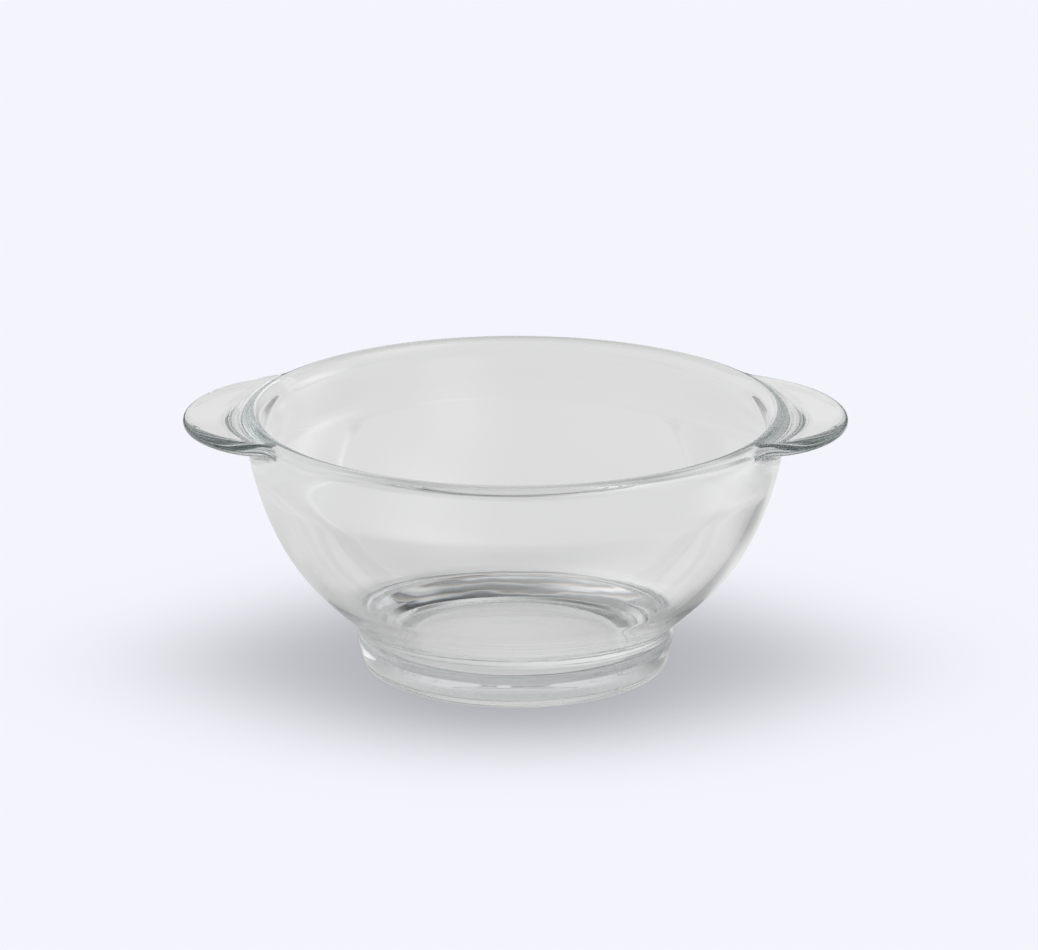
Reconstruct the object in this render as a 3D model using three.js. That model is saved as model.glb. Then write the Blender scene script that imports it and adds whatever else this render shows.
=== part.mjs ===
// Eared glass bowl: a clear pressed-glass soup bowl on a low foot, with two flat ears at the rim.
// Millimetres, +Z up. The origin is on the standing plane on the axis, and +X runs through an ear.
import * as THREE from 'three';

const degrees = THREE.MathUtils.degToRad;

// Bowl: radii from the axis, heights from the standing plane
const RIM_RADIUS = 66.5;
const HEIGHT = 65;
const LIP_THICKNESS = 3.7;
const LIP_LEAN = degrees(7.7);
const LIP_FADE = 14;
const WALL_THICKNESS = 2.5;
const NECK_RADIUS = 39;
const NECK_HEIGHT = 7.1;
const WAIST_PULL = 3.8;
const WAIST_LIFT = 9;
const OUTER_WALL_PULL = 45.5;
const WELL_TOP = 22;
const WELL_DROP = 5;
const WELL_SPREAD = 4.6;
const FLOOR_INSET = 14.5;
const FLOOR_HEIGHT = 5.9;

// Foot ring and the seat that it is fused to, set in from the neck
const FOOT_TAPER = 1.3;
const FOOT_RING_WIDTH = 5.2;
const FOOT_EDGE_RADIUS = 2.2;
const FOOT_BORE_EDGE = 0.5;
const RECESS_HEIGHT = 1.6;
const SHOULDER_WIDTH = 1.2;

// Ears
const EAR_REACH = 14.8;
const EAR_ARC_RADIUS = 33.5;
const EAR_ROOT_FILLET = 18;
const EAR_THICKNESS = 3.6;
const EAR_DROP = 0.5;
const EAR_TIP_DROP = 0.45;
const EAR_COVE_WIDTH = 4.5;
const EAR_COVE_RISE = 0.3;
const EAR_UNDER_FILLET = 6;
const EAR_END_WIDTH = 0.5;

// Gap that is left between two regions of the pressing
const SEAM = 0.3;

// Fineness of the facets
const TURN_STEPS = 64;
const WALL_STEPS = 15;
const WELL_STEPS = 8;
const LIP_STEPS = 8;
const EDGE_STEPS = 4;
const EAR_STEPS = 32;
const EAR_NOSE_STEPS = 6;
const EAR_FILLET_STEPS = 4;
const EAR_COVE_STEPS = 4;
const EAR_SEAT_STEPS = 4;
const HALVINGS = 40;

const FLOOR_RADIUS = NECK_RADIUS - FLOOR_INSET;
const FOOT_RADIUS = NECK_RADIUS - FOOT_TAPER;
const RECESS_RADIUS = FOOT_RADIUS - FOOT_RING_WIDTH;

const point = (radius, height) => new THREE.Vector2(radius, height);

// The share from 0 to 1 at which a rising measure passes a value, found by halving.
function shareAt(measure, value) {
  let low = 0;
  let high = 1;
  for (let step = 0; step < HALVINGS; step += 1) {
    const middle = (low + high) / 2;
    if (measure(middle) < value) low = middle;
    else high = middle;
  }
  return low;
}

// The lip is a half circle across the leaning end of the wall.
const lipRadius = LIP_THICKNESS / 2;
const lipCentre = point(RIM_RADIUS - lipRadius, HEIGHT - lipRadius);
const lean = point(Math.sin(LIP_LEAN), Math.cos(LIP_LEAN));
const lipOutside = lipCentre.clone().add(point(lean.y, -lean.x).multiplyScalar(lipRadius));

// Outside of the wall: from the neck, in at the waist, and out in one sweep to the lip.
const outerWall = new THREE.CubicBezierCurve(
  point(NECK_RADIUS, NECK_HEIGHT),
  point(NECK_RADIUS - WAIST_PULL, NECK_HEIGHT + WAIST_LIFT),
  lipOutside.clone().addScaledVector(lean, -OUTER_WALL_PULL),
  lipOutside,
);
const wallShareAt = (height) => shareAt((share) => outerWall.getPoint(share).y, height);

// Inside of the wall: the outside, set in by the thickness of the glass, which thins below the lip.
function insidePoint(share) {
  const outside = outerWall.getPoint(share);
  const way = outerWall.getTangent(share);
  const fade = THREE.MathUtils.smoothstep(lipOutside.y - outside.y, 0, LIP_FADE);
  const thickness = THREE.MathUtils.lerp(LIP_THICKNESS, WALL_THICKNESS, fade);
  return outside.addScaledVector(point(-way.y, way.x), thickness);
}

// Inside of the bowl below the lip: down the wall, then round the well to the flat floor.
function insideProfile() {
  const end = wallShareAt(WELL_TOP);
  const wall = Array.from({ length: WALL_STEPS + 1 }, (_, step) => (
    insidePoint(1 + (end - 1) * step / WALL_STEPS)
  ));
  const wellTop = wall[WALL_STEPS];
  const well = new THREE.CubicBezierCurve(
    wellTop,
    wellTop.clone().addScaledVector(outerWall.getTangent(end), -WELL_DROP),
    point(FLOOR_RADIUS + WELL_SPREAD, FLOOR_HEIGHT),
    point(FLOOR_RADIUS, FLOOR_HEIGHT),
  );
  return [...wall, ...well.getPoints(WELL_STEPS).slice(1)];
}

// The seat under the bowl, from the flat underside up a cone to the shoulder at the neck.
const seatFoot = point(RECESS_RADIUS, RECESS_HEIGHT);
const seatTop = point(NECK_RADIUS - SHOULDER_WIDTH, NECK_HEIGHT);

function bowlProfile() {
  const lip = new THREE.Path().absarc(
    lipCentre.x, lipCentre.y, lipRadius, -LIP_LEAN, Math.PI - LIP_LEAN, false,
  );
  return [
    point(0, RECESS_HEIGHT),
    seatFoot,
    seatTop,
    ...outerWall.getPoints(WALL_STEPS),
    ...lip.getPoints(LIP_STEPS / 2).slice(1, -1),
    ...insideProfile(),
    point(0, FLOOR_HEIGHT),
  ];
}

// The foot ring fills the corner under the seat, a seam away from the cone and against the shoulder.
function footProfile() {
  const cone = seatTop.clone().sub(seatFoot).normalize();
  const outward = point(cone.y, -cone.x).multiplyScalar(SEAM);
  const coneAt = (height) => {
    const start = seatFoot.clone().add(outward);
    return start.addScaledVector(cone, (height - start.y) / cone.y);
  };
  const bore = coneAt(RECESS_HEIGHT);
  const edge = new THREE.Path().absarc(
    FOOT_RADIUS - FOOT_EDGE_RADIUS, FOOT_EDGE_RADIUS, FOOT_EDGE_RADIUS, -Math.PI / 2, 0, false,
  );
  const boreEdge = new THREE.Path().absarc(
    bore.x + FOOT_BORE_EDGE, FOOT_BORE_EDGE, FOOT_BORE_EDGE, Math.PI, Math.PI * 1.5, false,
  );
  return [
    bore,
    ...boreEdge.getPoints(EDGE_STEPS / 2),
    ...edge.getPoints(EDGE_STEPS / 2),
    point(NECK_RADIUS, NECK_HEIGHT),
    coneAt(NECK_HEIGHT),
    bore,
  ];
}

// Turns a profile about +Z.
function turned(profile) {
  return new THREE.LatheGeometry(profile, TURN_STEPS).rotateX(Math.PI / 2);
}

// Radius of an ear's seat at a height near the rim: a seam away from the bowl's wall and lip.
function seatRadius(height) {
  if (height > lipOutside.y) {
    const rise = height - lipCentre.y;
    return lipCentre.x + Math.sqrt((lipRadius + SEAM) ** 2 - rise ** 2);
  }
  return outerWall.getPoint(wallShareAt(height)).x + SEAM;
}

// Plan outline of an ear, in polar form: one round arc, with a hollow fillet into the rim at each root.
const earCentre = RIM_RADIUS + EAR_REACH - EAR_ARC_RADIUS;
const filletDistance = RIM_RADIUS + EAR_ROOT_FILLET;
const filletSpan = EAR_ARC_RADIUS + EAR_ROOT_FILLET;
const rootAngle = Math.acos(
  (filletDistance ** 2 + earCentre ** 2 - filletSpan ** 2) / (2 * filletDistance * earCentre),
);
const filletCentre = point(filletDistance * Math.cos(rootAngle), filletDistance * Math.sin(rootAngle));
const arcEnd = filletCentre.clone().sub(point(earCentre, 0)).multiplyScalar(EAR_ARC_RADIUS / filletSpan);
const arcEndAngle = Math.atan2(arcEnd.y, earCentre + arcEnd.x);

function earReach(angle) {
  const turn = Math.abs(angle);
  if (turn <= arcEndAngle) {
    const offset = earCentre * Math.sin(turn);
    return earCentre * Math.cos(turn) + Math.sqrt(EAR_ARC_RADIUS ** 2 - offset ** 2);
  }
  const along = filletDistance * Math.cos(rootAngle - turn);
  const offset = filletDistance * Math.sin(rootAngle - turn);
  return along - Math.sqrt(EAR_ROOT_FILLET ** 2 - offset ** 2);
}

// Free width of an ear, from its seat at the rim to its edge.
const earWidth = (angle) => earReach(angle) - RIM_RADIUS - SEAM;

// Angle at which an ear has thinned to its end width.
const earEndAngle = rootAngle * shareAt((share) => -earWidth(share * rootAngle), -EAR_END_WIDTH);

// Section of an ear at one angle: underside fillet, round nose, flat top, cove up to the lip, and the seat.
function earSection(angle) {
  const reach = earReach(angle);
  const halfWidth = earWidth(angle) / 2;
  const top = HEIGHT - EAR_DROP - EAR_TIP_DROP * ((reach - RIM_RADIUS) / EAR_REACH) ** 2;
  const middle = top - EAR_THICKNESS / 2;
  const bottom = top - EAR_THICKNESS;
  const nose = Math.min(EAR_THICKNESS / 2, halfWidth);
  const fillet = Math.min(EAR_UNDER_FILLET, halfWidth);
  const cove = Math.min(EAR_COVE_WIDTH, halfWidth);
  const quarter = (step, steps) => step / steps * Math.PI / 2;
  const section = [];
  for (let step = 0; step <= EAR_FILLET_STEPS; step += 1) {
    const turn = quarter(step, EAR_FILLET_STEPS);
    const height = bottom - fillet + fillet * Math.sin(turn);
    section.push(point(seatRadius(height) + fillet * (1 - Math.cos(turn)), height));
  }
  for (let step = 0; step <= EAR_NOSE_STEPS; step += 1) {
    const turn = quarter(2 * step, EAR_NOSE_STEPS) - Math.PI / 2;
    const height = middle + EAR_THICKNESS / 2 * Math.sin(turn);
    section.push(point(reach - nose + nose * Math.cos(turn), height));
  }
  for (let step = 0; step <= EAR_COVE_STEPS; step += 1) {
    const turn = quarter(step, EAR_COVE_STEPS);
    const height = top + EAR_COVE_RISE * (1 - Math.cos(turn));
    section.push(point(seatRadius(height) + cove * (1 - Math.sin(turn)), height));
  }
  const seatTopHeight = top + EAR_COVE_RISE;
  const seatLowHeight = bottom - fillet;
  for (let step = 1; step < EAR_SEAT_STEPS; step += 1) {
    const height = seatTopHeight + (seatLowHeight - seatTopHeight) * step / EAR_SEAT_STEPS;
    section.push(point(seatRadius(height), height));
  }
  return section;
}

// Joins equal sections, set out round +Z at their angles, into one closed skin with capped ends.
function lofted(sections, angles) {
  const count = sections[0].length;
  const positions = sections.flatMap((section, ring) => section.flatMap(({ x, y }) => (
    [x * Math.cos(angles[ring]), x * Math.sin(angles[ring]), y]
  )));
  const faces = [];
  for (let ring = 0; ring + 1 < sections.length; ring += 1) {
    for (let spot = 0; spot < count; spot += 1) {
      const a = ring * count + spot;
      const b = ring * count + (spot + 1) % count;
      faces.push(a, a + count, b + count, a, b + count, b);
    }
  }
  const last = (sections.length - 1) * count;
  for (const [a, b, c] of THREE.ShapeUtils.triangulateShape(sections[0], [])) {
    faces.push(a, b, c, last + a, last + c, last + b);
  }
  const geometry = new THREE.BufferGeometry();
  geometry.setAttribute('position', new THREE.Float32BufferAttribute(positions, 3));
  geometry.setIndex(faces);
  geometry.computeVertexNormals();
  return geometry;
}

function earGeometry() {
  const angles = Array.from({ length: EAR_STEPS + 1 }, (_, step) => (
    earEndAngle * (2 * step / EAR_STEPS - 1)
  ));
  return lofted(angles.map(earSection), angles);
}

// Clear glass with a faint grey-green tone in the thick of it.
function glass(colour) {
  return new THREE.MeshStandardMaterial({
    color: colour, roughness: 0.04, metalness: 0, transparent: true, opacity: 0.35,
  });
}

function piece(name, geometry, colour) {
  const mesh = new THREE.Mesh(geometry, glass(colour));
  mesh.name = name;
  return mesh;
}

const bowl = piece('bowl', turned(bowlProfile()), 0xe4e8e7);
const footRing = piece('foot_ring', turned(footProfile()), 0xd9dfde);
const rightEar = piece('right_ear', earGeometry(), 0xdfe5e4);
const leftEar = piece('left_ear', earGeometry(), 0xdfe5e4);
leftEar.rotation.z = Math.PI;

const earedBowl = new THREE.Group();
earedBowl.add(bowl, footRing, rightEar, leftEar);

export default earedBowl;
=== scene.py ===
"""Looks of the eared glass bowl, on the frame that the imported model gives. Metres, +Z up."""

import math

import bpy
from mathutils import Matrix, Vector
from mathutils.geometry import interpolate_bezier


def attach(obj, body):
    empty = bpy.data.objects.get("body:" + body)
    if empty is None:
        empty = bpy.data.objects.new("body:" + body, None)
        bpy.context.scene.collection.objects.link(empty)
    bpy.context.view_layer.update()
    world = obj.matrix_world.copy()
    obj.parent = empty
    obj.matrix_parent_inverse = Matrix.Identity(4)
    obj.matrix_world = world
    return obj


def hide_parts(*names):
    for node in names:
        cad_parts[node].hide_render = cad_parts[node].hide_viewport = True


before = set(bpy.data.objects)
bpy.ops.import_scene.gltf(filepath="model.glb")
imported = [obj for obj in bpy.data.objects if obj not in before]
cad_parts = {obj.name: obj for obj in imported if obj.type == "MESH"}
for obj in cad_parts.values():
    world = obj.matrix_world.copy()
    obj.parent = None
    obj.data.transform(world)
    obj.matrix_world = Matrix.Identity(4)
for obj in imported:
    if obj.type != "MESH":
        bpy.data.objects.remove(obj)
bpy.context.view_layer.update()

MM = 0.001

# Bowl, in millimetres: radii from the axis, heights from the standing plane
RIM_RADIUS = 66.5
HEIGHT = 65.0
LIP_THICKNESS = 4.8
LIP_RISE = 3.2
LIP_LEAN = math.radians(7.7)
LIP_BLEND = 14.0
WALL_THICKNESS = 2.5
OUTER_WALL_PULL = 45.5
WAIST_PULL = 3.8
WAIST_LIFT = 9.0
NECK_RADIUS = 39.0
NECK_HEIGHT = 7.1
WELL_TOP = 22.0
WELL_DROP = 5.0
WELL_SPREAD = 4.6
FLOOR_RADIUS = 24.5
FLOOR_HEIGHT = 5.9

# Foot, in millimetres, with the crest's round as a share of the foot's side
FOOT_RADIUS = 37.7
FOOT_EDGE_RADIUS = 2.2
RECESS_RADIUS = 32.5
RECESS_HEIGHT = 1.6
RECESS_EDGE = 1.0
RECESS_DRAFT = 0.2
CREST_ROUND = 0.08

# Ears, in millimetres; the nose is a share of a short ear's width, and the fillet grows by a power of it
EAR_REACH = 14.8
EAR_ARC_RADIUS = 33.5
EAR_ROOT_FILLET = 18.0
EAR_THICKNESS = 3.6
EAR_NOSE_SHARE = 0.45
EAR_LEAST_FLAT = 0.05
EAR_DROP = 0.5
EAR_DROP_RUN = 6.0
EAR_TIP_DROP = 0.45
EAR_COVE_RADIUS = 8.0
EAR_UNDER_FILLET = 6.0
EAR_FILLET_POWER = 1.5
EAR_LEAST_FILLET = 0.3
EAR_BLEND = 4.5
EAR_FOOT_ROOM = 1.0

# Fineness of the mesh: counts, the least step in millimetres from the wall's rows to the ears', and the
# smallest number to divide by
COLUMNS = 240
WALL_STEPS = 160
CREST_STEPS = 3
WELL_STEPS = 30
DISC_STEPS = 14
LIP_STEPS = 24
EDGE_STEPS = 8
NOSE_STEPS = 16
COVE_HALVINGS = 40
ROW_GAP = 0.2
SMALLEST = 1e-6

# Glass: colour that its depth gives, strength of that per metre, and how it bends light
GLASS_TINT = (0.755, 0.785, 0.785, 1)
GLASS_DENSITY = 14
GLASS_IOR = 1.5

# Unevenness of the pressed glass, in millimetres: height, then size of one bump
STIPPLE = (0.04, 0.7)
HEEL_WAVE = (0.16, 6.0)
LIP_GRAIN = (0.012, 0.9)

# Where it shows: radii over which it comes and goes, heights over which the lip's comes, and margins
STIPPLE_SPAN = (12.0, 18.0, 33.5, 34.5)
HEEL_SPAN = (24.0, 27.0, 36.0, 42.0)
LIP_GRAIN_SPAN = (62.0, 63.0)
LIP_GRAIN_MARGIN = 0.3
SKIN_MARGIN = 0.1

# Floor and backdrop: colour, share of the floor's look that takes no shadow, half its side and its height
GROUND = (0.905, 0.913, 0.973, 1)
SHADOWLESS_SHARE = 0.5
STAGE_HALF = 30
STAGE_LEVEL = -5e-5

# What the glass shows of the floor, with the bowl's shadow and light and dark rings painted in: levels by
# distance from the axis in millimetres, at the sides and in front, behind the foot, and where the painted
# shadow behind the foot is deepest
GROUND_REACH = 200.0
GROUND_ASIDE = (
    (0, 0.64), (20, 0.62), (28, 0.60), (31, 0.68), (35, 0.74), (37, 0.74), (38.5, 0.62), (41, 0.48),
    (50, 0.44), (60, 0.48), (72, 0.56), (92, 0.66), (150, 0.72),
)
GROUND_BEHIND = (
    (0, 0.64), (20, 0.62), (27, 0.57), (31, 0.57), (34, 0.65), (35.5, 0.64), (35.8, 0.16), (38.2, 0.20),
    (38.5, 0.62), (39.6, 0.68), (39.9, 0.30), (41.0, 0.34), (41.3, 0.70), (43.2, 0.70), (43.5, 0.36),
    (44.5, 0.42), (44.9, 0.70), (60, 0.68), (90, 0.66), (150, 0.74),
)
GROUND_SHADED = (
    (0, 0.64), (20, 0.62), (27, 0.57), (31, 0.55), (34, 0.62), (35.5, 0.58), (35.8, 0.14), (38.2, 0.18),
    (38.5, 0.48), (39.2, 0.46), (39.5, 0.24), (42.0, 0.26), (42.4, 0.52), (43.4, 0.50), (43.8, 0.30),
    (46.6, 0.34), (46.9, 0.62), (66, 0.62), (90, 0.65), (150, 0.72),
)

# Least distance from the axis that is reckoned with on the floor, in millimetres
AXIS_RADIUS = 0.1

# Where the front's levels give way to the back's, by how far a direction on the floor points backwards,
# and where these give way to the deepest painted shadow, by how far it points along that shadow's own way
BEHIND_SPAN = (0.25, 0.6)
SHADED_WAY = (-0.105, 0.9945)
SHADED_SPAN = (0.86, 0.97)

# Painted light that the floor gains towards the right, by radius in millimetres: behind the foot, farther
# out behind it, and in front, where it turns round from the foot to the floor beside it
SIDE_SLOPE = 0.28
SIDE_SLOPE_SPAN = (28.0, 34.0, 48.0, 62.0)
FAR_SLOPE = 0.2
FAR_SLOPE_SPAN = (48.0, 62.0, 100.0, 160.0)
FAR_SLOPE_END = 0.3
FRONT_SLOPE = 0.15
FRONT_SLOPE_TURN = (36.0, 45.0)
FRONT_SLOPE_SPAN = (28.0, 31.0, 90.0, 130.0)

# Waver of the painted rings in millimetres, streaks across the painted dark ones, and the colour fringe in
# millimetres; sizes of a wave are in radians round the axis and in millimetres away from it
RIPPLE = 5.0
RIPPLE_SIZE = (0.45, 5.0)
STREAK = 0.9
STREAK_SIZE = (0.3, 1.6)
STREAK_SPAN = (34.0, 36.0, 48.0, 52.0)
FRINGE = 0.08

# A soft painted shadow on the floor at the right: strength, middle, and distances over which it fades
SIDE_SHADE = 0.45
SIDE_SHADE_PLACE = (125.0, 55.0)
SIDE_SHADE_SPAN = (25.0, 60.0)

# Painted dark reflection of the far floor behind on the glass: level, and where it comes in, in millimetres
FAR_ON_GLASS = 0.08
FAR_SPAN = (200.0, 350.0)

# Where a painted glow from the bright side of the room spreads over the floor at the right, in millimetres
SIDE_GLOW_SPAN = (150.0, 600.0)

# The room as it shows through the glass: its level, stripes at the back by height, how far a direction
# points backwards where they come in, the horizon, and the least level
SKY_IN_GLASS = 0.74
BACK_STRIPES = (
    (0, 0.90), (0.16, 0.90), (0.19, 0.55), (0.25, 0.55), (0.28, 0.90), (0.40, 0.86), (0.43, 0.40),
    (0.52, 0.40), (0.55, 0.82), (0.66, 0.78), (0.72, 0.48), (1, 0.6),
)
BACK_SPAN = (0.3, 0.7)
HORIZON_LEVEL = 0.73
HORIZON_SPAN = (0.03, 0.18)
DARKEST_IN_GLASS = 0.1

# Soft panels in it, and its bright side: azimuth and elevation in degrees, how narrow, and how much
# brighter or darker
ROOM_PANELS = (
    (60, 50, 9.0, -0.42), (-75, 57, 7.0, -0.35), (-120, 68, 7.0, -0.3), (75, 27, 12.0, -0.34),
    (-75, 22, 9.0, -0.34), (152, 17, 25.0, 1.0), (105, 70, 20.0, 0.25),
)
SIDE_PANEL = (77, 0, 20.0, 1.6)

# The room as it is mirrored on the glass: its level, panels as above, and the least level
SKY_ON_GLASS = 0.88
MIRRORED_PANELS = ((0, 18, 12.0, 0.08), (15, -4, 30.0, -0.9), (0, 60, 8.0, -0.55), (118, 48, 14.0, 1.5))
DARKEST_ON_GLASS = 0.05

# Light overhead: its level, how narrow it is from side to side and from front to back, and its lowest edge
SOFTBOX_LEVEL = 4.95
SOFTBOX_NARROW = (2.0, 5.0)
SOFTBOX_LOWEST = 0.02

# Camera, fitted to the photograph: metres and radians, with the lens and its sensor in millimetres
CAMERA_PLACE = (0.00086, -1.4413, 0.4924)
CAMERA_DIP = 0.2991813
CAMERA_REACH = 100
CAMERA_LENS = 213.34
SENSOR_WIDTH = 36

# How often light is followed through the glass, and from the floor
GLASS_BOUNCES = 128
FLOOR_BOUNCES = 2


def point(radius, height):
    return Vector((radius, height))


def straight(start, end, steps):
    return [start.lerp(end, step / steps) for step in range(steps + 1)]


def arc(centre, radius, start, end, steps):
    turns = [start + (end - start) * step / steps for step in range(steps + 1)]
    return [centre + radius * point(math.cos(turn), math.sin(turn)) for turn in turns]


def rounded(start, corner, end, steps):
    """Quadratic curve that leaves start towards the corner and arrives at end from it."""
    shares = [step / steps for step in range(steps + 1)]
    return [start.lerp(corner, share).lerp(corner.lerp(end, share), share) for share in shares]


def bezier(start, first, second, end, steps):
    """Cubic curve that leaves start towards the first handle and arrives at end from the second."""
    return [point(spot.x, spot.y) for spot in interpolate_bezier(start, first, second, end, steps + 1)]


def smooth(share):
    share = min(max(share, 0.0), 1.0)
    return share * share * (3 - 2 * share)


# The lip is half an ellipse on the leaning end of the wall.
lip_radius = LIP_THICKNESS / 2
lean = point(math.sin(LIP_LEAN), math.cos(LIP_LEAN))
across = point(lean.y, -lean.x)
lip_centre = point(
    RIM_RADIUS - math.hypot(lip_radius * across.x, LIP_RISE * lean.x),
    HEIGHT - math.hypot(lip_radius * across.y, LIP_RISE * lean.y),
)
lip_crown = math.pi / 2 + math.atan2(lip_radius * lean.x, LIP_RISE * lean.y)
lip_outside = lip_centre + lip_radius * across


def lip_spot(turn):
    """Point on the lip: outside at 0, its highest at lip_crown, inside at half a turn."""
    return lip_centre + lip_radius * math.cos(turn) * across + LIP_RISE * math.sin(turn) * lean


def lip_slope(turn):
    """Angle at which the lip falls outwards at a point."""
    way = lip_radius * math.sin(turn) * across - LIP_RISE * math.cos(turn) * lean
    return math.atan2(-way.y, way.x)


def lip_arc(start, end):
    return [lip_spot(start + (end - start) * step / LIP_STEPS) for step in range(LIP_STEPS + 1)]


# Outside of the wall: from the neck, in at the waist, and out in one sweep to the lip
neck = point(NECK_RADIUS, NECK_HEIGHT)
waist_handle = neck + point(-WAIST_PULL, WAIST_LIFT)
outer_wall = bezier(neck, waist_handle, lip_outside - OUTER_WALL_PULL * lean, lip_outside, WALL_STEPS)


def outside_radius(height):
    """Radius of the bowl's outside at a height above the neck, with no round for the lip."""
    if height >= outer_wall[-1].y:
        return outer_wall[-1].x
    above = next(step for step, spot in enumerate(outer_wall) if spot.y >= height)
    low = outer_wall[above - 1]
    high = outer_wall[above]
    return low.lerp(high, (height - low.y) / (high.y - low.y)).x


def inner_wall():
    """Inside of the wall, from the lip down to the well: the outside, set in by the glass's thickness."""
    spots = []
    for step in range(WALL_STEPS, 0, -1):
        spot = outer_wall[step]
        if spot.y < WELL_TOP:
            break
        way = lean
        if step < WALL_STEPS:
            way = (outer_wall[step + 1] - outer_wall[step - 1]).normalized()
        share = smooth((lip_outside.y - spot.y) / LIP_BLEND)
        thickness = LIP_THICKNESS + (WALL_THICKNESS - LIP_THICKNESS) * share
        spots.append(spot + thickness * point(-way.y, way.x))
    return spots


def well(wall):
    """Inside of the well, from the end of the inner wall round the heel to the flat floor."""
    way = (wall[-1] - wall[-2]).normalized()
    floor_edge = point(FLOOR_RADIUS, FLOOR_HEIGHT)
    return bezier(
        wall[-1], wall[-1] + WELL_DROP * way, floor_edge + point(WELL_SPREAD, 0), floor_edge, WELL_STEPS
    )


# Lowest height of an ear's section, on the wall below its fillet
ear_foot = HEIGHT - EAR_DROP - EAR_TIP_DROP - EAR_THICKNESS - EAR_UNDER_FILLET - EAR_FOOT_ROOM

# Plan outline of an ear, in polar form: one round arc, with a hollow fillet into the rim at each root
ear_centre = RIM_RADIUS + EAR_REACH - EAR_ARC_RADIUS
fillet_distance = RIM_RADIUS + EAR_ROOT_FILLET
fillet_span = EAR_ARC_RADIUS + EAR_ROOT_FILLET
root_angle = math.acos(
    (fillet_distance**2 + ear_centre**2 - fillet_span**2) / (2 * fillet_distance * ear_centre)
)
fillet_centre = fillet_distance * point(math.cos(root_angle), math.sin(root_angle))
arc_end = point(ear_centre, 0).lerp(fillet_centre, EAR_ARC_RADIUS / fillet_span)
arc_end_angle = math.atan2(arc_end.y, arc_end.x)


def ear_width(angle):
    """How far an ear stands out from the rim, at an angle round the axis."""
    turn = abs(math.remainder(angle, math.pi))
    if turn >= root_angle:
        return 0.0
    if turn <= arc_end_angle:
        offset = ear_centre * math.sin(turn)
        return ear_centre * math.cos(turn) + math.sqrt(EAR_ARC_RADIUS**2 - offset**2) - RIM_RADIUS
    offset = fillet_distance * math.sin(root_angle - turn)
    along = fillet_distance * math.cos(root_angle - turn)
    return along - math.sqrt(EAR_ROOT_FILLET**2 - offset**2) - RIM_RADIUS


def ear_drop(width):
    """How far an ear's top lies below the lip's: level with it at the roots, lowest at the middle."""
    return EAR_DROP * smooth(width / EAR_DROP_RUN) + EAR_TIP_DROP * (width / EAR_REACH) ** 2


def cove_turn(width):
    """Angle on the lip at which it meets the cove, the round that touches the ear's top and the lip."""
    ear_top = HEIGHT - ear_drop(width)
    low = 0.0
    high = lip_crown
    for _ in range(COVE_HALVINGS):
        middle = (low + high) / 2
        if lip_spot(middle).y - ear_top > EAR_COVE_RADIUS * (1 - math.cos(lip_slope(middle))):
            high = middle
        else:
            low = middle
    return high


def ear_contour(width, drawn):
    """Section of an ear: wall, under fillet, flat underside, round nose, flat top and cove to the lip.

    Its heights and its fillet are those of an ear of this width, and it is drawn out from the rim so far.
    """
    ear_top = HEIGHT - ear_drop(width)
    ear_bottom = ear_top - EAR_THICKNESS
    reach = RIM_RADIUS + drawn
    nose = min(EAR_THICKNESS / 2, drawn * EAR_NOSE_SHARE)
    fillet = max(EAR_UNDER_FILLET * (width / EAR_REACH) ** EAR_FILLET_POWER, EAR_LEAST_FILLET)
    spots = []
    for step in range(EDGE_STEPS):
        height = ear_foot + (ear_bottom - fillet - ear_foot) * step / EDGE_STEPS
        spots.append(point(outside_radius(height), height))
    for step in range(EDGE_STEPS + 1):
        turn = math.pi / 2 * step / EDGE_STEPS
        height = ear_bottom - fillet * (1 - math.sin(turn))
        spots.append(point(outside_radius(height) + fillet * (1 - math.cos(turn)), height))
    spots += straight(spots[-1], point(reach - nose, ear_bottom), EDGE_STEPS)[1:]
    for step in range(1, NOSE_STEPS + 1):
        turn = math.pi * (step / NOSE_STEPS - 0.5)
        height = ear_top + EAR_THICKNESS / 2 * (math.sin(turn) - 1)
        spots.append(point(reach + nose * (math.cos(turn) - 1), height))
    lip_turn = cove_turn(width)
    slope = lip_slope(lip_turn)
    cove_end = lip_spot(lip_turn)
    cove_centre = point(cove_end.x + EAR_COVE_RADIUS * math.sin(slope), ear_top + EAR_COVE_RADIUS)
    # On a short ear the cove is squeezed into the room that the nose leaves.
    cove_start = min(cove_centre.x, reach - nose - EAR_LEAST_FLAT)
    squeeze = (cove_start - cove_end.x) / max(cove_centre.x - cove_end.x, SMALLEST)
    spots += straight(spots[-1], point(cove_start, ear_top), EDGE_STEPS)[1:]
    for spot in arc(cove_centre, EAR_COVE_RADIUS, -math.pi / 2, -math.pi / 2 - slope, EDGE_STEPS)[1:]:
        spots.append(point(cove_end.x + (spot.x - cove_end.x) * squeeze, spot.y))
    return spots


def spread(spots, count):
    """The same path with its points at even distances."""
    lengths = [0.0]
    for start, end in zip(spots, spots[1:]):
        lengths.append(lengths[-1] + (end - start).length)
    even = []
    piece = 0
    for step in range(count):
        length = lengths[-1] * step / (count - 1)
        while piece < len(spots) - 2 and lengths[piece + 1] < length:
            piece += 1
        share = (length - lengths[piece]) / (lengths[piece + 1] - lengths[piece])
        even.append(spots[piece].lerp(spots[piece + 1], min(max(share, 0.0), 1.0)))
    return even


def plain_contour():
    """The bowl's outside at an ear's height, where there is none, point for point as an ear's section."""
    below = 2 * EDGE_STEPS
    ear_bottom = HEIGHT - EAR_THICKNESS
    heights = [ear_foot + (ear_bottom - ear_foot) * step / below for step in range(below)]
    wall = [point(outside_radius(height), height) for height in heights]
    rise = lip_outside.y - ear_bottom
    heights = [ear_bottom + rise * step / LIP_STEPS for step in range(LIP_STEPS + 1)]
    upper = [point(outside_radius(height), height) for height in heights]
    upper += lip_arc(0.0, lip_crown)[1:]
    return wall + spread(upper, len(ear_contour(EAR_REACH, EAR_REACH)) - below)


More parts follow.
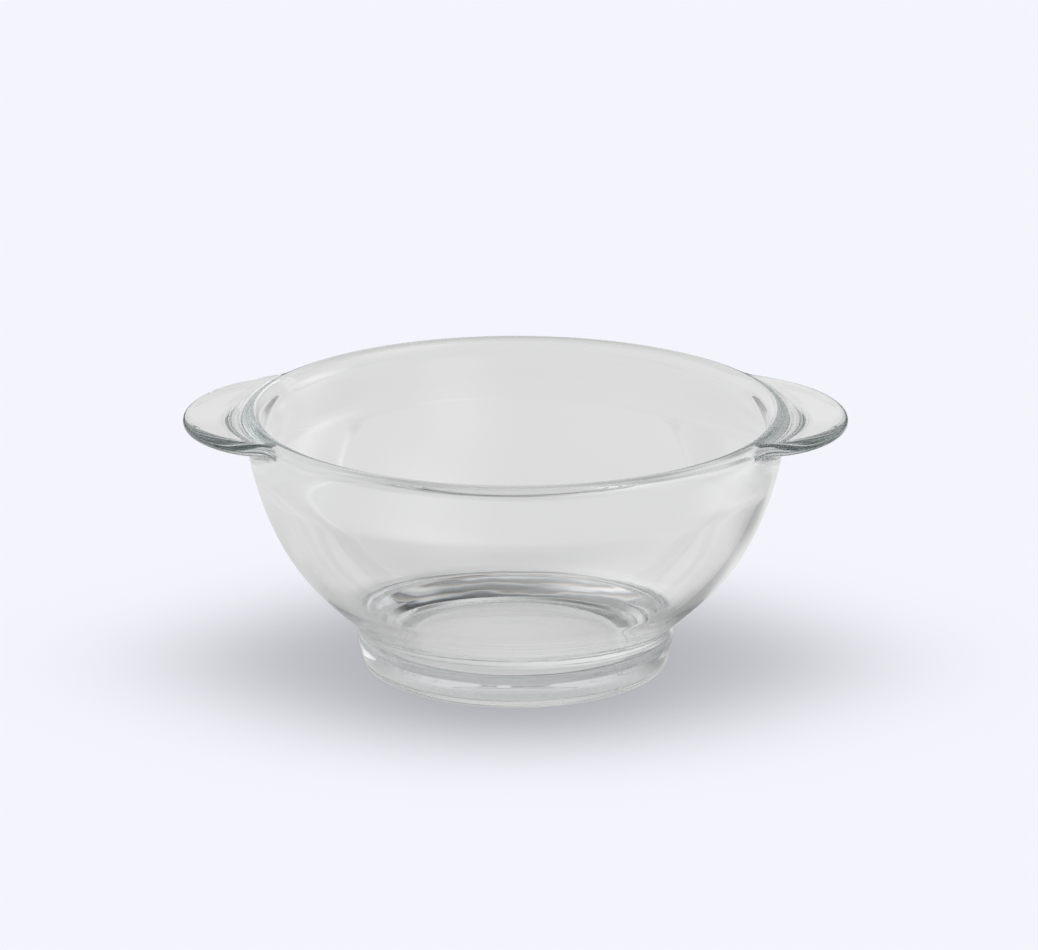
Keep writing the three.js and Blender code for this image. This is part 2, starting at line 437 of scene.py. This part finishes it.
def rim_contour(plain, width):
    """Outside at an ear's height, drawn out of the plain one to this width, and then the lip."""
    share = math.tanh(width / EAR_BLEND)
    outside = plain
    if share > 0:
        drawn = ear_contour(width, width / share)
        outside = [start.lerp(end, share) for start, end in zip(plain, drawn)]
    lip_start = lip_crown + (cove_turn(width) - lip_crown) * share
    return outside[:-1] + lip_arc(lip_start, math.pi)


def foot_contour():
    """Underside and foot, from the axis out to the crest under the neck."""
    recess_corner = point(RECESS_RADIUS, RECESS_HEIGHT)
    recess_middle = point(RECESS_RADIUS + RECESS_DRAFT / 2, RECESS_HEIGHT / 2)
    ring_edge = point(RECESS_RADIUS + RECESS_DRAFT, 0)
    ring_start = point(RECESS_RADIUS + RECESS_DRAFT + RECESS_EDGE, 0)
    edge_centre = point(FOOT_RADIUS - FOOT_EDGE_RADIUS, FOOT_EDGE_RADIUS)
    spots = straight(point(0, RECESS_HEIGHT), recess_corner - point(RECESS_EDGE, 0), DISC_STEPS)
    spots += rounded(spots[-1], recess_corner, recess_middle, EDGE_STEPS)[1:]
    spots += rounded(recess_middle, ring_edge, ring_start, EDGE_STEPS)[1:]
    spots += straight(ring_start, point(edge_centre.x, 0), EDGE_STEPS)[1:]
    spots += arc(edge_centre, FOOT_EDGE_RADIUS, -math.pi / 2, 0, EDGE_STEPS)[1:]
    spots += straight(spots[-1], spots[-1].lerp(neck, 1 - CREST_ROUND), EDGE_STEPS)[1:]
    return spots


def lower_contour():
    """Outside from the axis up to the ears' sections: underside, foot, crest and wall."""
    foot = foot_contour()
    crest = rounded(foot[-1], neck, outer_wall[CREST_STEPS], EDGE_STEPS)
    wall = [spot for spot in outer_wall[CREST_STEPS + 1 :] if spot.y < ear_foot - ROW_GAP]
    return foot[1:] + crest[1:] + wall


def inside_contour():
    """Inside from under the lip to the axis: wall, well and floor."""
    wall = inner_wall()
    spots = wall[1:] + well(wall)[1:]
    return spots + straight(spots[-1], point(0, FLOOR_HEIGHT), DISC_STEPS)[1:-1]


def bowl_mesh():
    """One closed skin: the profile carried round the axis, with the ears drawn out of it."""
    lower = lower_contour()
    plain = plain_contour()
    inside = inside_contour()
    spots = []
    for column in range(COLUMNS):
        angle = 2 * math.pi * column / COLUMNS
        for spot in lower + rim_contour(plain, ear_width(angle)) + inside:
            spots.append((spot.x * math.cos(angle) * MM, spot.x * math.sin(angle) * MM, spot.y * MM))
    rows = len(spots) // COLUMNS
    bottom = len(spots)
    top = bottom + 1
    spots += [(0, 0, RECESS_HEIGHT * MM), (0, 0, FLOOR_HEIGHT * MM)]
    faces = []
    for column in range(COLUMNS):
        here = column * rows
        beside = (column + 1) % COLUMNS * rows
        faces.append((bottom, beside, here))
        faces += [(here + row, beside + row, beside + row + 1, here + row + 1) for row in range(rows - 1)]
        faces.append((top, here + rows - 1, beside + rows - 1))
    mesh = bpy.data.meshes.new("eared_bowl")
    mesh.from_pydata(spots, [], faces)
    mesh.shade_smooth()
    return mesh


def floor_mesh():
    """The studio's floor, a large square just under the foot."""
    corners = ((-1, -1), (1, -1), (1, 1), (-1, 1))
    mesh = bpy.data.meshes.new("floor")
    mesh.from_pydata([(x * STAGE_HALF, y * STAGE_HALF, STAGE_LEVEL) for x, y in corners], [], [(0, 1, 2, 3)])
    return mesh


def bearing(azimuth, elevation):
    """Direction from the bowl, in degrees: azimuth from behind towards the right, elevation from level."""
    turn = math.radians(azimuth)
    rise = math.radians(elevation)
    return Vector((math.sin(turn) * math.cos(rise), math.cos(turn) * math.cos(rise), math.sin(rise)))


class Nodes:
    """A material's or world's node tree, with short ways to add and join nodes."""

    def __init__(self, owner):
        owner.use_nodes = True
        self.tree = owner.node_tree
        self.tree.nodes.clear()

    def add(self, kind, settings=None, **inputs):
        node = self.tree.nodes.new("ShaderNode" + kind)
        for name, value in (settings or {}).items():
            setattr(node, name, value)
        for name, value in inputs.items():
            self.put(node.inputs[name.replace("_", " ")], value)
        return node

    def put(self, socket, value):
        """Links an output to a socket, or sets the socket to a constant."""
        if isinstance(value, bpy.types.NodeSocket):
            self.tree.links.new(value, socket)
        else:
            socket.default_value = value

    def maths(self, operation, *values):
        node = self.add("Math", {"operation": operation})
        for socket, value in zip(node.inputs, values):
            self.put(socket, value)
        return node.outputs[0]

    def dot(self, first, second):
        """Sum of the products of two lists of numbers."""
        total = 0.0
        for one, other in zip(first, second):
            total = self.maths("MULTIPLY_ADD", one, other, total)
        return total

    def length(self, x, y):
        return self.maths("SQRT", self.dot((x, y), (x, y)))

    def in_millimetres(self, place):
        """A place in metres, in millimetres."""
        return self.add("VectorMath", {"operation": "SCALE"}, Vector=place, Scale=1 / MM).outputs[0]

    def parts(self, vector):
        """The three parts of a vector."""
        node = self.add("SeparateXYZ")
        self.put(node.inputs[0], vector)
        return tuple(node.outputs)

    def ramp(self, value, span, start=0.0, end=1.0):
        """A smooth step from start to end, while the value crosses the span."""
        low, high = span
        node = self.add(
            "MapRange", {"interpolation_type": "SMOOTHSTEP"}, Value=value, From_Min=low, From_Max=high,
            To_Min=start, To_Max=end,
        )
        return node.outputs["Result"]

    def band(self, value, span, end=0.0):
        """From 0 up to 1 over the first two places of the span, and down to the end over the last two."""
        return self.maths("MULTIPLY", self.ramp(value, span[:2]), self.ramp(value, span[2:], 1.0, end))

    def blend(self, share, first, second):
        """From the first number to the second."""
        return self.maths("MULTIPLY_ADD", self.maths("SUBTRACT", second, first), share, first)

    def mix(self, share, first, second):
        """From the first shader to the second."""
        node = self.add("MixShader", Fac=share)
        self.put(node.inputs[1], first)
        self.put(node.inputs[2], second)
        return node.outputs[0]

    def curve(self, share, stops, reach):
        """A smooth curve through (place, level) stops, for a share of the reach."""
        node = self.add("ValToRGB", Fac=share)
        ramp = node.color_ramp
        ramp.interpolation = "EASE"
        while len(ramp.elements) < len(stops):
            ramp.elements.new(1.0)
        for element, (place, level) in zip(ramp.elements, stops):
            element.position = place / reach
            element.color = (level, level, level, 1)
        return node.outputs["Color"]

    def panel(self, direction, panel, base):
        """The base level with one soft panel added to it."""
        azimuth, elevation, narrow, level = panel
        near = self.dot(direction, bearing(azimuth, elevation))
        fall = self.maths("EXPONENT", self.maths("MULTIPLY_ADD", near, narrow, -narrow))
        return self.maths("MULTIPLY_ADD", fall, level, base)

    def bumps(self, place, bump, share):
        """Height in millimetres of soft bumps, kept to where the share is above zero."""
        height, size = bump
        noise = self.add("TexNoise", Vector=place, Scale=1 / size, Detail=1.0).outputs[0]
        return self.maths("MULTIPLY", self.maths("MULTIPLY", noise, height), share)

    def waver(self, turn, radius, size):
        """Noise about zero round the axis: size in radians along the circles, in millimetres across them."""
        spot = self.add("CombineXYZ")
        for socket, value, wave in zip(spot.inputs, (turn, radius), size):
            self.put(socket, self.maths("DIVIDE", value, wave))
        noise = self.add("TexNoise", Vector=spot.outputs[0], Scale=1.0, Detail=2.0).outputs[0]
        return self.maths("SUBTRACT", noise, 0.5)

    def seen_in_glass(self):
        """1 for rays that glass or gloss sends on, 0 for the camera's own and for light on the floor."""
        path = self.add("LightPath").outputs
        return self.maths("MAXIMUM", path["Is Glossy Ray"], path["Is Transmission Ray"])


def glass_material():
    """Clear glass with a faint tint in its depth, and with the unevenness of a pressing as bumps."""
    material = bpy.data.materials.new("clear_glass")
    nodes = Nodes(material)
    place = nodes.in_millimetres(nodes.add("TexCoord").outputs["Object"])
    x, y, z = nodes.parts(place)
    radius = nodes.length(x, y)
    under = nodes.maths("LESS_THAN", z, RECESS_HEIGHT + SKIN_MARGIN)
    under = nodes.maths("MULTIPLY", under, nodes.band(radius, STIPPLE_SPAN))
    heel = nodes.maths("GREATER_THAN", z, FLOOR_HEIGHT - SKIN_MARGIN)
    heel = nodes.maths("MULTIPLY", heel, nodes.band(radius, HEEL_SPAN))
    lip = nodes.maths("LESS_THAN", radius, RIM_RADIUS + LIP_GRAIN_MARGIN)
    lip = nodes.maths("MULTIPLY", lip, nodes.ramp(z, LIP_GRAIN_SPAN))
    height = 0.0
    for bump, share in ((STIPPLE, under), (HEEL_WAVE, heel), (LIP_GRAIN, lip)):
        height = nodes.maths("ADD", height, nodes.bumps(place, bump, share))
    skin = nodes.add("Bump", Height=height, Distance=MM, Strength=1.0)
    surface = nodes.add(
        "BsdfPrincipled", Base_Color=(1, 1, 1, 1), Roughness=0.0, IOR=GLASS_IOR, Transmission_Weight=1.0,
        Normal=skin.outputs["Normal"],
    )
    body = nodes.add("VolumeAbsorption", Color=GLASS_TINT, Density=GLASS_DENSITY)
    nodes.add("OutputMaterial", Surface=surface.outputs[0], Volume=body.outputs[0])
    return material


def sideways_light(nodes, aside, radius):
    """Painted light that the floor in the glass gains towards the right: behind the axis, and in front of
    it.
    """
    near = nodes.maths("MULTIPLY", nodes.band(radius, SIDE_SLOPE_SPAN), SIDE_SLOPE)
    far = nodes.maths("MULTIPLY", nodes.band(radius, FAR_SLOPE_SPAN, FAR_SLOPE_END), FAR_SLOPE)
    back = nodes.dot((aside, nodes.maths("MAXIMUM", aside, 0.0)), (near, far))
    front = nodes.ramp(radius, FRONT_SLOPE_TURN, FRONT_SLOPE, -FRONT_SLOPE / 2)
    front = nodes.maths("MULTIPLY", front, nodes.band(radius, FRONT_SLOPE_SPAN))
    return back, nodes.maths("MULTIPLY", front, aside)


def floor_in_glass(nodes):
    """Colour of the floor in the glass: pale, with painted rings, a painted shadow behind the foot, painted
    light.
    """
    x, y, _ = nodes.parts(nodes.in_millimetres(nodes.add("NewGeometry").outputs["Position"]))
    radius = nodes.maths("MAXIMUM", nodes.length(x, y), AXIS_RADIUS)
    aside = nodes.maths("DIVIDE", x, radius)
    behind = nodes.maths("DIVIDE", y, radius)
    turn = nodes.maths("ARCTAN2", x, y)
    rings = nodes.maths("MULTIPLY_ADD", nodes.waver(turn, radius, RIPPLE_SIZE), RIPPLE, radius)
    streak = nodes.maths("MULTIPLY", nodes.band(radius, STREAK_SPAN), nodes.waver(turn, radius, STREAK_SIZE))
    streak = nodes.maths("MULTIPLY_ADD", streak, STREAK, 1.0)
    shaded = nodes.ramp(nodes.dot((aside, behind), SHADED_WAY), SHADED_SPAN)
    back_light, front_light = sideways_light(nodes, aside, radius)
    # A painted shadow patch at the right, then a painted dark reflection far behind and a painted glow
    offset = [nodes.maths("SUBTRACT", part, middle) for part, middle in zip((x, y), SIDE_SHADE_PLACE)]
    shade = nodes.ramp(nodes.length(*offset), SIDE_SHADE_SPAN, 1.0 - SIDE_SHADE, 1.0)
    mirrored = nodes.maths("SUBTRACT", 1.0, nodes.add("LightPath").outputs["Is Transmission Ray"])
    far = nodes.maths("MULTIPLY", nodes.ramp(y, FAR_SPAN), mirrored)
    side = nodes.panel((aside, behind, 0.0), SIDE_PANEL, 0.0)
    glow = nodes.maths("MULTIPLY", nodes.ramp(x, SIDE_GLOW_SPAN), side)
    colour = nodes.add("CombineColor")
    for socket, shift in zip(colour.inputs, (-FRINGE, 0.0, FRINGE)):
        share = nodes.maths("DIVIDE", nodes.maths("ADD", rings, shift), GROUND_REACH)
        plain = nodes.curve(share, GROUND_BEHIND, GROUND_REACH)
        back = nodes.blend(shaded, plain, nodes.curve(share, GROUND_SHADED, GROUND_REACH))
        back = nodes.maths("MULTIPLY_ADD", back, streak, back_light)
        front = nodes.maths("ADD", front_light, nodes.curve(share, GROUND_ASIDE, GROUND_REACH))
        level = nodes.blend(nodes.ramp(behind, BEHIND_SPAN), front, back)
        level = nodes.maths("MULTIPLY", level, shade)
        nodes.put(socket, nodes.maths("ADD", nodes.blend(far, level, FAR_ON_GLASS), glow))
    return colour.outputs[0]


def floor_material():
    """A pale floor that takes a soft shadow, and that the glass shows with painted shadow and light of its
    own.
    """
    material = bpy.data.materials.new("pale_floor")
    nodes = Nodes(material)
    lit = nodes.add("BsdfDiffuse", Color=GROUND)
    even = nodes.add("Emission", Color=GROUND)
    through = nodes.add("Emission", Color=floor_in_glass(nodes))
    shadowed = nodes.mix(SHADOWLESS_SHARE, lit.outputs[0], even.outputs[0])
    shown = nodes.mix(nodes.seen_in_glass(), shadowed, through.outputs[0])
    nodes.add("OutputMaterial", Surface=shown)
    return material


def room_in_glass(nodes, direction):
    """Level of the room as it shows through the glass."""
    _, y, z = direction
    stripes = nodes.curve(nodes.maths("MAXIMUM", z, 0.0), BACK_STRIPES, 1.0)
    room = nodes.blend(nodes.ramp(y, BACK_SPAN), SKY_IN_GLASS, stripes)
    for panel in ROOM_PANELS:
        room = nodes.panel(direction, panel, room)
    room = nodes.blend(nodes.ramp(z, HORIZON_SPAN), HORIZON_LEVEL, room)
    room = nodes.panel(direction, SIDE_PANEL, room)
    return nodes.maths("MAXIMUM", room, DARKEST_IN_GLASS)


def room_on_glass(nodes, direction):
    """Level of the room as it is mirrored on the glass."""
    room = SKY_ON_GLASS
    for panel in MIRRORED_PANELS:
        room = nodes.panel(direction, panel, room)
    return nodes.maths("MAXIMUM", room, DARKEST_ON_GLASS)


def softbox(nodes, direction):
    """Level of the light overhead, long from side to side, which throws the soft shadow."""
    x, y, z = direction
    height = nodes.maths("MAXIMUM", z, SOFTBOX_LOWEST)
    fall = 0.0
    for side, narrow in zip((x, y), SOFTBOX_NARROW):
        tilt = nodes.maths("DIVIDE", side, height)
        fall = nodes.maths("MULTIPLY_ADD", nodes.maths("MULTIPLY", tilt, tilt), -narrow, fall)
    level = nodes.maths("MULTIPLY", nodes.maths("EXPONENT", fall), SOFTBOX_LEVEL)
    return nodes.maths("MULTIPLY", level, nodes.maths("GREATER_THAN", z, 0.0))


def studio_world():
    """Softbox for the floor, the room for the glass to mirror and let through, backdrop for the camera."""
    world = bpy.data.worlds.new("studio")
    nodes = Nodes(world)
    direction = nodes.parts(nodes.add("TexCoord").outputs["Generated"])
    path = nodes.add("LightPath").outputs
    shown = nodes.add("Background", Color=softbox(nodes, direction)).outputs[0]
    # A ray through glass counts as glossy too, so transmission comes after it.
    looks = (
        ("Is Glossy Ray", room_on_glass(nodes, direction)),
        ("Is Transmission Ray", room_in_glass(nodes, direction)),
        ("Is Camera Ray", GROUND),
    )
    for ray, colour in looks:
        background = nodes.add("Background", Color=colour)
        shown = nodes.mix(path[ray], shown, background.outputs[0])
    nodes.add("OutputWorld", Surface=shown)
    return world


def place_camera(scene):
    """The photograph's view: from the front, 17 degrees down, through a long lens."""
    lens = bpy.data.cameras.new("camera")
    lens.sensor_fit = "HORIZONTAL"
    lens.sensor_width = SENSOR_WIDTH
    lens.lens = CAMERA_LENS
    lens.clip_end = CAMERA_REACH
    camera = bpy.data.objects.new("camera", lens)
    camera.location = CAMERA_PLACE
    camera.rotation_euler = (math.pi / 2 - CAMERA_DIP, 0, 0)
    scene.collection.objects.link(camera)
    scene.camera = camera


scene = bpy.context.scene
bowl = bpy.data.objects.new("eared_bowl", bowl_mesh())
scene.collection.objects.link(bowl)
bowl.data.materials.append(glass_material())
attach(bowl, "root")
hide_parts("bowl", "foot_ring", "left_ear", "right_ear")

floor = bpy.data.objects.new("floor", floor_mesh())
scene.collection.objects.link(floor)
floor.data.materials.append(floor_material())

scene.world = studio_world()
place_camera(scene)
scene.view_settings.view_transform = "Standard"
scene.cycles.caustics_refractive = False
scene.cycles.caustics_reflective = False
scene.cycles.max_bounces = GLASS_BOUNCES
scene.cycles.transmission_bounces = GLASS_BOUNCES
scene.cycles.glossy_bounces = GLASS_BOUNCES
scene.cycles.diffuse_bounces = FLOOR_BOUNCES
